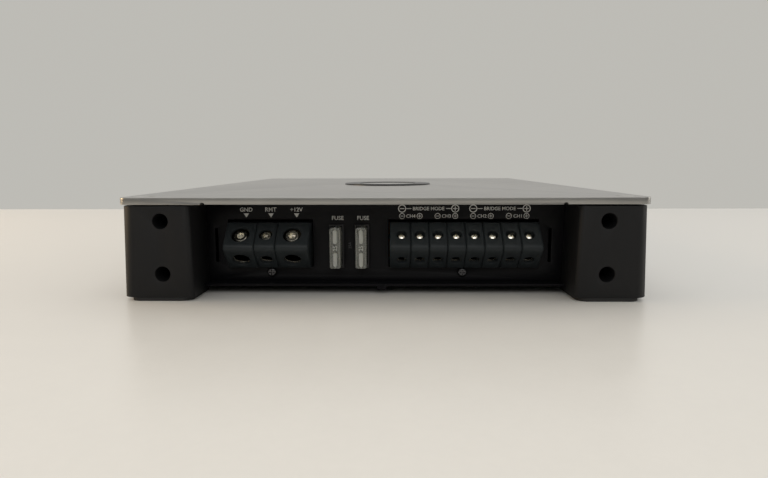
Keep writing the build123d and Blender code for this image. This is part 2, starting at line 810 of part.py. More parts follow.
def board_screw(x, y):
    screw = rod((x, y, board_top), (0, 0, 1), 2.6, 1.6)
    screw += rod((x, y, board_top - 4.4), (0, 0, 1), 1.0, 4.4)
    return screw - cross_recess((x, y, board_top + 1.6), (0, 0, -1), 2.6, 0.6, 0.9)


def transformer():
    """A ferrite ring and the winding that wraps it."""
    x, y = 0.0, toroid_y
    low = board_top + winding_wall
    core = rod((x, y, low), (0, 0, 1), toroid_outer, toroid_height)
    core -= rod((x, y, low), (0, 0, 1), toroid_inner, toroid_height)
    wrap = rod((x, y, board_top), (0, 0, 1), toroid_outer + winding_wall, toroid_height + 2 * winding_wall)
    wrap -= rod((x, y, board_top), (0, 0, 1), toroid_inner - winding_wall, 2 * toroid_height)
    wrap = fillet(wrap.edges().filter_by(GeomType.CIRCLE), 2.0)
    return core, wrap - core


def capacitor(x):
    """A standing can with a crimp groove near its foot."""
    can = rod((x, capacitor_y, board_top), (0, 0, 1), capacitor_radius, capacitor_height)
    can = fillet(can.edges().filter_by(GeomType.CIRCLE), 0.8)
    groove = rod((x, capacitor_y, board_top + 3.0), (0, 0, 1), capacitor_radius + 1, 1.2)
    groove -= rod((x, capacitor_y, board_top + 3.0), (0, 0, 1), capacitor_radius - 0.6, 1.2)
    return can - groove


def inductor(x, y):
    """A drum core with flanges and a waist."""
    drum = rod((x, y, board_top), (0, 0, 1), inductor_radius, 2.0)
    drum += rod((x, y, board_top), (0, 0, 1), inductor_radius - 0.9, inductor_height)
    return drum + rod((x, y, board_top + inductor_height - 2.0), (0, 0, 1), inductor_radius, 2.0)


def transistor(side, y):
    """A power transistor against the heatsink wall, on three legs."""
    low, high = transistor_z
    face = wall_inner - pad_thickness
    span = sorted((side * (face - transistor_thickness), side * face))
    shape = block(span, (y - 5.0, y + 5.0), (low, high))
    middle = side * (face - transistor_thickness / 2)
    for offset in (-2.54, 0.0, 2.54):
        leg_y = (y + offset - 0.4, y + offset + 0.4)
        shape += block((middle - 0.3, middle + 0.3), leg_y, (board_underside, low))
    return shape


def transistor_clip(side):
    """A sprung bar that presses one row of transistors to the wall."""
    face = wall_inner - pad_thickness - transistor_thickness
    span = sorted((side * (face - clip_thickness), side * face))
    run = (transistor_y[0] - 9.0, transistor_y[-1] + 9.0)
    middle = sum(transistor_z) / 2
    return block(span, run, (middle - 4.0, middle + 4.0))


def build_board():
    save("circuit_board", slotted_board())
    save("board_standoffs", *[standoff(x, y) for x, y in standoff_places()])
    save("board_screws", *[board_screw(x, y) for x, y in standoff_places()])
    core, winding = transformer()
    save("transformer_core", core)
    save("transformer_winding", winding)
    save("reservoir_capacitors", *[capacitor(x) for x in capacitor_x])
    save("output_inductors", *[inductor(x, y) for x, y in inductor_places])
    sides = (-1, 1)
    save("power_transistors", *[transistor(side, y) for side in sides for y in transistor_y])
    pads = []
    for side in sides:
        span = sorted((side * (wall_inner - pad_thickness), side * wall_inner))
        run = (transistor_y[0] - 7.0, transistor_y[-1] + 7.0)
        pads.append(block(span, run, transistor_z))
    save("thermal_pads", *pads)
    save("transistor_clips", *[transistor_clip(side) for side in sides])


def slotted_board():
    """The board, cut clear of the transistor legs that pass its long edges."""
    board = circuit_board()
    for side in (-1, 1):
        middle = side * (wall_inner - pad_thickness - transistor_thickness / 2)
        for y in transistor_y:
            board -= block((middle - 0.6, middle + 0.6), (y - 3.2, y + 3.2), (board_underside, board_top))
    return board


# ---- Input end: sockets, knobs, switches and lights -------------------------------------------
def phono_block():
    """The moulded block that carries the four input sockets."""
    margin = 8.0
    span = (phono_x[0] - margin, phono_x[-1] + margin)
    block_front = panel_back - 0.2
    body = block(span, (block_front - 16.0, block_front), (board_top, phono_z[-1] + margin))
    reach = phono_shell_length - 1.0 + panel_face - block_front
    core_radius = phono_shell_radius - phono_shell_wall - thread_clearance
    for x in phono_x:
        for z in phono_z:
            body += rod((x, block_front, z), (0, 1, 0), core_radius, reach)
            body -= rod((x, block_front + reach, z), (0, -1, 0), phono_socket_radius, 10.0)
    return body


def phono_shell(x, z):
    """The plated outer contact of one socket, with a collar inside the panel's hole."""
    start = panel_back - 0.2
    length = panel_face + phono_shell_length - start
    shell = rod((x, start, z), (0, 1, 0), phono_shell_radius, length)
    shell += rod((x, start, z), (0, 1, 0), phono_shell_radius + phono_collar, panel_face - start)
    return shell - rod((x, start, z), (0, 1, 0), phono_shell_radius - phono_shell_wall, length)


def potentiometer(x):
    """A board-mounted potentiometer with a bearing for the knob's shaft."""
    front = panel_back - 0.3
    body = block((x - 4.8, x + 4.8), (front - 8.0, front), (board_top, control_z + 4.8))
    return body - rod((x, front, control_z), (0, -1, 0), shaft_radius + thread_clearance, 6.0)


def knob(x):
    """A ribbed knob, its pointer groove straight up, with its shaft."""
    back = panel_face + knob_panel_gap
    front = back + knob_length
    shape = rod((x, back, control_z), (0, 1, 0), knob_radius, knob_length)
    shape = fillet(shape.faces().sort_by(Axis.Y)[-1].edges(), 0.8)
    for angle in range(0, 360, 20):
        rib_place = Pos(x, back, control_z) * Rot(0, angle, 0) * Pos(knob_radius + 0.25, 0, 0)
        rib = Pos(0, knob_length / 2, 0) * Rot(90, 0, 0) * Cylinder(0.55, knob_length)
        shape -= rib_place * rib
    shape -= block((x - 0.4, x + 0.4), (front - 0.5, front), (control_z, control_z + knob_radius))
    shaft_start = panel_back - 0.3 - 5.5
    return shape + rod((x, shaft_start, control_z), (0, 1, 0), shaft_radius, back - shaft_start)


def switch_body(x, travel):
    """A slide switch standing on the board, open towards the panel."""
    front = panel_back - 0.2
    half = slider_width / 2 + travel + 0.3
    body = block((x - half - 1.2, x + half + 1.2), (front - 6.0, front), (board_top, control_z + 3.2))
    room = (control_z - slider_height / 2 - 0.1, control_z + slider_height / 2 + 0.1)
    return body - block((x - half, x + half), (front - 4.0, front), room)


def switch_slider(x, rest):
    """The slider's lever, ribbed across its tip."""
    place = x + rest
    back = panel_back - 0.2 - 4.0 + 0.1
    front = panel_face + slider_proud
    sides = (place - slider_width / 2, place + slider_width / 2)
    height = (control_z - slider_height / 2, control_z + slider_height / 2)
    slider = block(sides, (back, front), height)
    for offset in (-0.75, 0.0, 0.75):
        cut = (place + offset - 0.15, place + offset + 0.15)
        slider -= block(cut, (front - 0.3, front), height)
    return slider


def indicator_light(z):
    """A light-emitting diode in the panel, on its two leads."""
    start = panel_back - 2.0
    lens = rod((light_x, start, z), (0, 1, 0), light_radius, panel_face - start + 0.8)
    lens = fillet(lens.faces().sort_by(Axis.Y)[-1].edges(), light_radius * 0.8)
    lens += rod((light_x, start - 1.0, z), (0, 1, 0), light_radius + 0.4, 1.0)
    lead_y = start - 1.0 - (z - light_z[0]) * 0.1
    leads = [lens]
    for offset in (-1.0, 1.0):
        sides = (light_x + offset - 0.25, light_x + offset + 0.25)
        leads.append(block(sides, (lead_y - 0.5, lead_y), (board_top, z + 0.25)))
        leads.append(block(sides, (lead_y - 0.5, start - 1.0), (z - 0.25, z + 0.25)))
    shape = leads[0]
    for lead in leads[1:]:
        shape += lead
    return shape


def build_input_end():
    save("phono_socket_block", phono_block())
    save("phono_socket_shells", *[phono_shell(x, z) for x in phono_x for z in phono_z])
    save("potentiometer_bodies", *[potentiometer(x) for x in knob_x])
    for name, x in zip(knob_names, knob_x):
        save(name, knob(x))
    save("switch_bodies", *[switch_body(x, travel) for x, travel in zip(switch_x, switch_travel)])
    for name, x, rest in zip(switch_names, switch_x, switch_rest):
        save(name, switch_slider(x, rest))
    save("indicator_lights", *[indicator_light(z) for z in light_z])


os.makedirs("parts", exist_ok=True)
build_posts()
build_top()
build_body()
build_panels()
build_terminals()
build_fuses()
build_board()
build_input_end()
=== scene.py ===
import json
import math

import bmesh
import bpy
from mathutils import Matrix, Vector


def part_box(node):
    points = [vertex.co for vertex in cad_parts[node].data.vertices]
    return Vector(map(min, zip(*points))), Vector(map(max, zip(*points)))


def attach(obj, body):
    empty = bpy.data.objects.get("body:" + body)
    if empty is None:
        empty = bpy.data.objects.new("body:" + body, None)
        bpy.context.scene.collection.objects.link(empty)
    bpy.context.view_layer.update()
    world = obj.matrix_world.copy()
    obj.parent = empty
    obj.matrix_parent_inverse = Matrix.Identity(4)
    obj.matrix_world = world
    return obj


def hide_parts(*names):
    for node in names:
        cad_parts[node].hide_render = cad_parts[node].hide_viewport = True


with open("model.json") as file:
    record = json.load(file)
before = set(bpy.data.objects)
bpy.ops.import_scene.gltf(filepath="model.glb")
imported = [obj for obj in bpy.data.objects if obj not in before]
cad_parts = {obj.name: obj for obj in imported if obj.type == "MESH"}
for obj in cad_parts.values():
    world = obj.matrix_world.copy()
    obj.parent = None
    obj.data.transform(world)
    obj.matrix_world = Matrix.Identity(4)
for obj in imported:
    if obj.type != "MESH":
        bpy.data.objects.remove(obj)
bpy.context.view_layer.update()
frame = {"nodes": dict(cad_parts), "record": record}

# ---- Bottom cover ----------------------------------------------------------------------------
# A steel sheet that closes the body from below, cut and folded, then sprayed satin black.
# Countersunk screws hold it to the heatsink's rails, and its tongues reach out under both
# end panels, where their edges catch the light and also carry a painted highlight.
MM = 0.001


def finish(
    name, colour, metallic, roughness, grain, depth,
    stretch=(1, 1, 1), mottle=0.15, uneven=0.08, sheen=0.5,
):
    """A surface with fine grain of a size in millimetres, broad mottling and uneven gloss."""
    material = bpy.data.materials.new(name)
    material.use_nodes = True
    nodes, links = material.node_tree.nodes, material.node_tree.links
    shader = nodes["Principled BSDF"]
    shader.inputs["Metallic"].default_value = metallic
    shader.inputs["Specular IOR Level"].default_value = sheen
    place = nodes.new("ShaderNodeTexCoord")
    run = nodes.new("ShaderNodeMapping")
    run.inputs["Scale"].default_value = [share / (grain * MM) for share in stretch]
    links.new(place.outputs["Object"], run.inputs["Vector"])
    fine = nodes.new("ShaderNodeTexNoise")
    fine.name = "grain"
    fine.inputs["Scale"].default_value = 1.0
    fine.inputs["Detail"].default_value = 3.0
    links.new(run.outputs["Vector"], fine.inputs["Vector"])
    broad = nodes.new("ShaderNodeTexNoise")
    broad.name = "mottle"
    broad.inputs["Scale"].default_value = 1 / (14 * MM)
    broad.inputs["Detail"].default_value = 4.0
    links.new(place.outputs["Object"], broad.inputs["Vector"])
    both = nodes.new("ShaderNodeMix")
    both.inputs[0].default_value = 0.5
    links.new(fine.outputs["Fac"], both.inputs[2])
    links.new(broad.outputs["Fac"], both.inputs[3])
    tone = nodes.new("ShaderNodeValToRGB")
    tone.name = "tone"
    tone.color_ramp.elements[0].position = 0.25
    tone.color_ramp.elements[1].position = 0.75
    tone.color_ramp.elements[0].color = [channel * (1 - mottle) for channel in colour] + [1]
    tone.color_ramp.elements[1].color = [min(1, channel * (1 + mottle)) for channel in colour] + [1]
    links.new(both.outputs[0], tone.inputs["Fac"])
    links.new(tone.outputs["Color"], shader.inputs["Base Color"])
    gloss = nodes.new("ShaderNodeMapRange")
    gloss.inputs["To Min"].default_value = roughness - uneven
    gloss.inputs["To Max"].default_value = roughness + uneven
    links.new(both.outputs[0], gloss.inputs["Value"])
    links.new(gloss.outputs["Result"], shader.inputs["Roughness"])
    bump = nodes.new("ShaderNodeBump")
    bump.name = "relief"
    bump.inputs["Distance"].default_value = depth * MM
    links.new(fine.outputs["Fac"], bump.inputs["Height"])
    links.new(bump.outputs["Normal"], shader.inputs["Normal"])
    return material


def paint_edge_highlight_and_wear(material, colour, reach):
    """Paints a lighter second colour along sharp edges, in broken patches: partly wear, partly a
    painted highlight where edges catch the light.
    """
    nodes, links = material.node_tree.nodes, material.node_tree.links
    rounded = nodes.new("ShaderNodeBevel")
    rounded.samples = 4
    rounded.inputs["Radius"].default_value = reach * MM
    flat = nodes.new("ShaderNodeNewGeometry")
    turn = nodes.new("ShaderNodeVectorMath")
    turn.operation = "DOT_PRODUCT"
    links.new(rounded.outputs["Normal"], turn.inputs[0])
    links.new(flat.outputs["Normal"], turn.inputs[1])
    edge = nodes.new("ShaderNodeMapRange")
    edge.inputs["From Min"].default_value = 0.97
    edge.inputs["From Max"].default_value = 0.80
    links.new(turn.outputs["Value"], edge.inputs["Value"])
    patches = nodes.new("ShaderNodeMapRange")
    patches.inputs["From Min"].default_value = 0.45
    patches.inputs["From Max"].default_value = 0.65
    links.new(nodes["mottle"].outputs["Fac"], patches.inputs["Value"])
    amount = nodes.new("ShaderNodeMath")
    amount.operation = "MULTIPLY"
    links.new(edge.outputs["Result"], amount.inputs[0])
    links.new(patches.outputs["Result"], amount.inputs[1])
    mix = nodes.new("ShaderNodeMix")
    mix.data_type = "RGBA"
    # The lighter edge colour: painted highlight and wear.
    mix.inputs[7].default_value = (*colour, 1)
    links.new(amount.outputs["Value"], mix.inputs[0])
    links.new(nodes["tone"].outputs["Color"], mix.inputs[6])
    links.new(mix.outputs[2], nodes["Principled BSDF"].inputs["Base Color"])
    return material


def dress(node, material, edge=0.0, segments=2):
    """Gives a CAD node its finish, and rounds its sharp edges by a few tenths."""
    piece = frame["nodes"][node]
    for slot in piece.material_slots:
        slot.material = material
    if edge:
        weld = piece.modifiers.new("join faces", "WELD")
        weld.merge_threshold = 0.002 * MM
        merge = piece.modifiers.new("merge flats", "DECIMATE")
        merge.decimate_type = "DISSOLVE"
        merge.angle_limit = math.radians(0.5)
        round_over = piece.modifiers.new("round edges", "BEVEL")
        round_over.width = edge * MM
        round_over.segments = segments
        round_over.limit_method = "ANGLE"
        round_over.angle_limit = math.radians(38)
        round_over.harden_normals = True
        piece.data.shade_smooth()


satin_paint = finish(
    "satin_black_paint", (0.004, 0.004, 0.005), 0.0, 0.42, 0.5, 0.006, mottle=0.2, sheen=0.1
)
# Lighter broken patches along the edges: partly wear, partly painted highlight.
paint_edge_highlight_and_wear(satin_paint, (0.05, 0.05, 0.05), 0.15)
dress("bottom_cover", satin_paint, edge=0.15)

zinc = finish("zinc_plate", (0.55, 0.56, 0.55), 1.0, 0.34, 0.3, 0.004, mottle=0.12)
black_oxide = finish("black_oxide", (0.070, 0.070, 0.073), 0.9, 0.24, 0.2, 0.004, mottle=0.25)
dress("bottom_cover_screws", black_oxide)
dress("board_standoffs", zinc)

# ---- Circuit board and what is soldered to it ------------------------------------------------
# A glass-epoxy board with green solder resist, on the cover's standoffs. It carries the
# supply transformer on a ferrite ring, four storage capacitors and four output chokes.
resist = finish("green_solder_resist", (0.010, 0.085, 0.035), 0.0, 0.30, 2.5, 0.03, mottle=0.45)
dress("circuit_board", resist)
dress("board_screws", zinc)
dress("panel_brackets", zinc)

ferrite = finish("sintered_ferrite", (0.035, 0.035, 0.037), 0.0, 0.62, 0.4, 0.02, mottle=0.3)
dress("transformer_core", ferrite)
dress("output_inductors", ferrite)

copper = finish("enamelled_copper", (0.42, 0.14, 0.045), 0.9, 0.30, 0.6, 0.03, mottle=0.25)
dress("transformer_winding", copper)

sleeve = finish("capacitor_sleeve", (0.015, 0.018, 0.035), 0.0, 0.32, 1.2, 0.01, mottle=0.2)
dress("reservoir_capacitors", sleeve)

# ---- Heatsink and power stage ----------------------------------------------------------------
# An aluminium extrusion, black anodised: a deck under the top plate, two side walls with
# fins outside, and the power transistors sprung against the walls inside on thermal pads.
anodised = finish(
    "black_anodised_extrusion", (0.020, 0.020, 0.021), 0.35, 0.42, 0.35, 0.006,
    stretch=(1, 0.02, 1), mottle=0.25,
)
# Lighter broken patches along the edges: partly wear, partly painted highlight.
paint_edge_highlight_and_wear(anodised, (0.14, 0.14, 0.14), 0.3)
dress("heatsink", anodised, edge=0.25)

epoxy = finish("moulded_epoxy", (0.025, 0.025, 0.026), 0.0, 0.48, 0.25, 0.012, mottle=0.25)
dress("power_transistors", epoxy)
pad_rubber = finish("grey_thermal_pad", (0.30, 0.31, 0.33), 0.0, 0.75, 0.5, 0.02)
dress("thermal_pads", pad_rubber)
spring_steel = finish(
    "spring_steel", (0.36, 0.36, 0.37), 1.0, 0.32, 0.3, 0.004, stretch=(1, 0.03, 1)
)
dress("transistor_clips", spring_steel)

# ---- Terminal blocks -------------------------------------------------------------------------
# Each pole is a separate moulding in dark blue-grey glass-filled nylon, slid in beside its
# neighbour, with a nickel-plated brass clamp inside it. The mould leaves a slight sheen.
nylon = finish(
    "glass_filled_nylon", (0.020, 0.024, 0.026), 0.0, 0.40, 0.16, 0.006,
    mottle=0.12, uneven=0.05, sheen=0.16,
)
for block in ("power_terminal_housings", "speaker_terminal_housings"):
    dress(block, nylon, edge=0.25, segments=3)

nickel = finish(
    "nickel_plate", (0.78, 0.75, 0.68), 1.0, 0.20, 0.25, 0.004, mottle=0.10, uneven=0.05
)


def paint_shade_inside(material, front, depth):
    """Paints shade into a clamp's plating, darker inward from its front face, where the wire goes
    in.
    """
    nodes, links = material.node_tree.nodes, material.node_tree.links
    place = nodes.new("ShaderNodeTexCoord")
    inward = nodes.new("ShaderNodeVectorMath")
    inward.operation = "DOT_PRODUCT"
    inward.inputs[1].default_value = (0, math.sqrt(0.5), math.sqrt(0.5))
    links.new(place.outputs["Object"], inward.inputs[0])
    painted_shade = nodes.new("ShaderNodeMapRange")
    painted_shade.inputs["From Min"].default_value = front + 0.1 * MM
    painted_shade.inputs["From Max"].default_value = front + depth * MM
    links.new(inward.outputs["Value"], painted_shade.inputs["Value"])
    mix = nodes.new("ShaderNodeMix")
    mix.data_type = "RGBA"
    # Dark colour of the painted shade deep inside the bore.
    mix.inputs[7].default_value = (0.035, 0.030, 0.020, 1)
    links.new(painted_shade.outputs["Result"], mix.inputs[0])
    links.new(nodes["tone"].outputs["Color"], mix.inputs[6])
    links.new(mix.outputs[2], nodes["Principled BSDF"].inputs["Base Color"])


clamp_plate = finish(
    "clamp_plate", (0.80, 0.76, 0.66), 1.0, 0.22, 0.25, 0.004, mottle=0.10, uneven=0.05
)
# The clamps get painted shade, darker the deeper it is from the wire entry.
clamps = frame["nodes"]["power_terminal_clamps"].data.vertices
paint_shade_inside(clamp_plate, min(point.co.y + point.co.z for point in clamps) * math.sqrt(0.5), 0.5)
for node in ("power_terminal_clamps", "speaker_terminal_clamps"):
    dress(node, clamp_plate, edge=0.12)

# ---- Power terminal screws -------------------------------------------------------------------
# Hexagon-socket set screws, turned from steel bar and nickel plated. The socket is cut by a
# chamfered broach, and the thread runs from the chamfered rim to the tip.
SCREW_SIDES = 48
THREAD_PITCH = 0.8
THREAD_DEPTH = 0.3
TIP_CHAMFER = 0.4
SOCKET_DEPTH = 2.1
BROACH_CHAMFER = 0.45


def new_piece(name, shape, material):
    """Turns a finished bmesh into an object of the scene."""
    mesh = bpy.data.meshes.new(name)
    bmesh.ops.recalc_face_normals(shape, faces=shape.faces)
    shape.to_mesh(mesh)
    shape.free()
    mesh.materials.append(material)
    piece = bpy.data.objects.new(name, mesh)
    bpy.context.scene.collection.objects.link(piece)
    return piece


def smooth(piece, angle):
    """Shades a piece smooth, apart from edges sharper than an angle in degrees."""
    piece.data.shade_smooth()
    piece.data.set_sharp_from_angle(angle=math.radians(angle))


def lathe(shape, outline, steps=SCREW_SIDES):
    """Spins an outline of (radius, height) points in millimetres round the Z axis."""
    points = [shape.verts.new((radius * MM, 0, height * MM)) for radius, height in outline]
    edges = [shape.edges.new(pair) for pair in zip(points, points[1:])]
    bmesh.ops.spin(
        shape, geom=points + edges, cent=(0, 0, 0), axis=(0, 0, 1), dvec=(0, 0, 0),
        angle=math.tau, steps=steps, use_merge=True,
    )
    bmesh.ops.remove_doubles(shape, verts=shape.verts, dist=0.0005 * MM)


def thread(radius, top, tip):
    """The zigzag outline of a thread, from its first crest down to the chamfered tip."""
    outline = []
    height = top
    while height - THREAD_PITCH > tip + TIP_CHAMFER:
        outline.append((radius, height))
        outline.append((radius - THREAD_DEPTH, height - THREAD_PITCH / 2))
        height -= THREAD_PITCH
    return outline + [(radius, height), (radius - TIP_CHAMFER, tip), (0, tip)]


def screw_place(node):
    """A terminal screw's radius and length in millimetres, and the place of its outer end.

    There, Z points out of the block and Y up the sloping face.
    """
    across = Vector((1, 0, 0))
    up = Vector((0, 1, 1)).normalized()
    outward = Vector((0, -1, 1)).normalized()
    spans = []
    for axis in (across, up, outward):
        reach = [axis.dot(point.co) for point in frame["nodes"][node].data.vertices]
        spans.append((min(reach), max(reach)))
    (left, right), (bottom, top), (inner, outer) = spans
    place = Matrix((across, up, outward)).transposed().to_4x4()
    place.translation = across * (left + right) / 2 + up * (bottom + top) / 2 + outward * outer
    return (right - left) / 2 / MM, (outer - inner) / MM, place


def apply_modifiers(piece):
    """Makes a piece's modifiers part of its mesh."""
    graph = bpy.context.evaluated_depsgraph_get()
    made = bpy.data.meshes.new_from_object(piece.evaluated_get(graph))
    piece.modifiers.clear()
    piece.data = made


def carve(piece, cutter):
    """Cuts one shape out of another for good."""
    cut = piece.modifiers.new("cut", "BOOLEAN")
    cut.operation = "DIFFERENCE"
    cut.solver = "EXACT"
    cut.object = cutter
    apply_modifiers(piece)
    bpy.data.objects.remove(cutter)


def round_off(shape, edges, width, segments):
    """Chamfers edges by a width in millimetres, or rounds them if it has more segments."""
    bmesh.ops.bevel(
        shape, geom=edges, offset=width * MM, offset_type="OFFSET", affect="EDGES",
        segments=segments, profile=0.5, material=-1,
    )


def set_screw(node, across_flats, turn):
    """A set screw turned from its outline, with its socket cut at a turn in degrees."""
    radius, length, place = screw_place(node)
    rim = [(radius - 0.55, 0), (radius - 0.15, -0.3)]
    shape = bmesh.new()
    lathe(shape, [(0, 0), *rim, *thread(radius, -0.6, -length)])
    shape.transform(place)
    piece = new_piece(node + "_turned", shape, bright_nickel)
    broach = bmesh.new()
    corner = across_flats / math.sqrt(3) * MM
    bmesh.ops.create_cone(
        broach, cap_ends=True, segments=6, radius1=corner, radius2=corner,
        depth=2 * SOCKET_DEPTH * MM,
    )
    tip = [edge for edge in broach.edges if max(end.co.z for end in edge.verts) < 0]
    round_off(broach, tip, BROACH_CHAMFER, 1)
    broach.transform(place @ Matrix.Rotation(math.radians(turn), 4, "Z"))
    carve(piece, new_piece("broach", broach, bright_nickel))
    smooth(piece, 30)
    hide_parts(node)
    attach(piece, node)


bright_nickel = finish(
    "bright_nickel", (0.82, 0.79, 0.70), 1.0, 0.16, 0.2, 0.003, mottle=0.12, uneven=0.06
)
set_screw("ground_screw", 3.2, 12)
set_screw("remote_screw", 2.5, 40)
set_screw("positive_screw", 3.2, 25)

# ---- Speaker terminal screws -----------------------------------------------------------------
# Domed cross-recess screws, cold headed and nickel plated, one for each pole. The recess is
# punched with slightly tapering walls, and no two screws stopped at the same turn.
HEAD_HEIGHT = 1.7
DOME_HEIGHT = 1.25
SHANK_RADIUS = 1.5
NECK_RADIUS = 1.4
RECESS_SPAN = 2.7
RECESS_WIDTH = 0.62
RECESS_DEPTH = 1.15
BLADE_TAPER = (0.45, 0.75, 1)


def driver_tip():
    """One of the two tapering blades of a cross-head punch, pointing down from the origin."""
    shape = bmesh.new()
    bar = bmesh.ops.create_cube(shape, size=1)["verts"]
    low = [corner for corner in bar if corner.co.z < 0]
    size = (RECESS_SPAN * MM, RECESS_WIDTH * MM, 2 * RECESS_DEPTH * MM)
    bmesh.ops.scale(shape, verts=bar, vec=size)
    bmesh.ops.scale(shape, verts=low, vec=BLADE_TAPER)
    return shape


def domed_screw(node, turn):
    """A domed screw turned from its outline, with its cross punched at a turn in degrees."""
    radius, length, place = screw_place(node)
    angles = [math.radians(angle) for angle in range(0, 91, 10)]
    dome = [(radius * math.sin(angle), -DOME_HEIGHT * (1 - math.cos(angle))) for angle in angles]
    rim = [(radius, -HEAD_HEIGHT + 0.1), (radius - 0.1, -HEAD_HEIGHT), (NECK_RADIUS, -HEAD_HEIGHT)]
    shank = thread(SHANK_RADIUS, -HEAD_HEIGHT - 0.1, -length)
    shape = bmesh.new()
    lathe(shape, [*dome, *rim, *shank])
    spin = Matrix.Rotation(math.radians(turn), 4, "Z")
    shape.transform(place @ spin)
    piece = new_piece(node + "_headed", shape, bright_nickel)
    for quarter in (0, 90):
        punch = driver_tip()
        punch.transform(place @ spin @ Matrix.Rotation(math.radians(quarter), 4, "Z"))
        carve(piece, new_piece("punch", punch, bright_nickel))
    smooth(piece, 35)
    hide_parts(node)
    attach(piece, node)


for pole, turn in enumerate((20, 65, 38, 5, 52, 80, 30, 12), start=1):
    domed_screw(f"speaker_screw_{pole}", turn)

# ---- Fuse holders and contacts ---------------------------------------------------------------
# Black mouldings on the board, whose rims frame the fuses in the panel. Forked springs of
# plated brass inside them grip the blades.
moulded_black = finish(
    "moulded_black_plastic", (0.016, 0.016, 0.017), 0.0, 0.42, 0.22, 0.008, mottle=0.2
)
dress("fuse_holders", moulded_black, edge=0.15)
dress("fuse_contacts", nickel)

# ---- Blade fuses -----------------------------------------------------------------------------
# Standard blade fuses: a clear moulded body, hollow from behind, over a stamped zinc strip
# whose two blades are joined by a thin waved link. The dished front has the rating moulded
# on it, between two raised loops.
RATING = "25"
FRONT_RIM = 0.55
FRONT_DISH = 0.45
FRONT_WALL = 1.5
CAVITY_WIDTH = 1.5
LOOP_HALF_SIZE = (0.95, 0.25, 3.3)
LOOP_DISTANCE = 5.4
LOOP_RIM = 0.35
LOOP_SINK = 0.3
BLADE_WIDTH = 5.2
LINK_SIDES = (2.2, 3.4)
LINK_STEPS = 24
LINK_WAVE = 1.1
LINK_THICKNESS = 0.3


def clear_plastic(name, tint, cloudiness, roughness):
    """A clear or cloudy moulding with faint flow lines in its surface."""
    material = finish(name, tint, 0.0, roughness, 0.9, 0.06, mottle=0.10, uneven=0.05)
    shader = material.node_tree.nodes["Principled BSDF"]
    shader.inputs["Transmission Weight"].default_value = 1 - cloudiness
    shader.inputs["IOR"].default_value = 1.49
    return material


def thicken(shape, thickness):
    """Raises a flat upright shape towards -Y by a thickness in millimetres."""
    grown = bmesh.ops.extrude_face_region(shape, geom=list(shape.faces))["geom"]
    raised = [part for part in grown if isinstance(part, bmesh.types.BMVert)]
    bmesh.ops.translate(shape, verts=raised, vec=(0, -thickness * MM, 0))


def text_mesh(words, height, thickness):
    """Lettering as a bmesh, standing up in X and Z, centred on the origin and facing -Y."""
    curve = bpy.data.curves.new(words, "FONT")
    curve.body = words
    curve.align_x = "CENTER"
    curve.resolution_u = 3
    curve.offset = 0.015
    letters = bpy.data.objects.new(words, curve)
    bpy.context.scene.collection.objects.link(letters)
    graph = bpy.context.evaluated_depsgraph_get()
    mesh = bpy.data.meshes.new_from_object(letters.evaluated_get(graph))
    bpy.data.objects.remove(letters)
    shape = bmesh.new()
    shape.from_mesh(mesh)
    rows = [point.co.y for point in shape.verts]
    columns = [point.co.x for point in shape.verts]
    middle = Vector(((min(columns) + max(columns)) / 2, (min(rows) + max(rows)) / 2, 0))
    bmesh.ops.translate(shape, verts=shape.verts, vec=-middle)
    size = height * MM / (max(rows) - min(rows))
    bmesh.ops.scale(shape, verts=shape.verts, vec=(size, size, 1))
    upright = Matrix.Rotation(math.radians(90), 3, "X")
    bmesh.ops.rotate(shape, verts=shape.verts, cent=(0, 0, 0), matrix=upright)
    thicken(shape, thickness)
    return shape


def box_shape(low, high):
    """A box between two corners in metres."""
    shape = bmesh.new()
    bmesh.ops.create_cube(shape, size=1)
    bmesh.ops.scale(shape, verts=shape.verts, vec=high - low)
    bmesh.ops.translate(shape, verts=shape.verts, vec=(low + high) / 2)
    return shape


def edges_along(shape, axis):
    """The edges that run along X, Y or Z (0, 1 or 2)."""
    return [
        edge for edge in shape.edges
        if abs((edge.verts[0].co - edge.verts[1].co).normalized()[axis]) > 0.99
    ]


def foremost(shape):
    """The face nearest the front, towards -Y."""
    return min(shape.faces, key=lambda face: face.calc_center_median().y)


def add_shape(whole, part):
    """Adds one bmesh to another and frees it."""
    mesh = bpy.data.meshes.new("part")
    part.to_mesh(mesh)
    part.free()
    whole.from_mesh(mesh)
    bpy.data.meshes.remove(mesh)


def front_loop(centre):
    """A raised oval rim on a fuse's front, with its middle let in."""
    half = Vector(LOOP_HALF_SIZE) * MM
    loop = box_shape(centre - half, centre + half)
    round_off(loop, edges_along(loop, 1), 0.9, 4)
    face = foremost(loop)
    bmesh.ops.inset_region(loop, faces=[face], thickness=LOOP_RIM * MM)
    bmesh.ops.translate(loop, verts=list(face.verts), vec=(0, LOOP_SINK * MM, 0))
    return loop


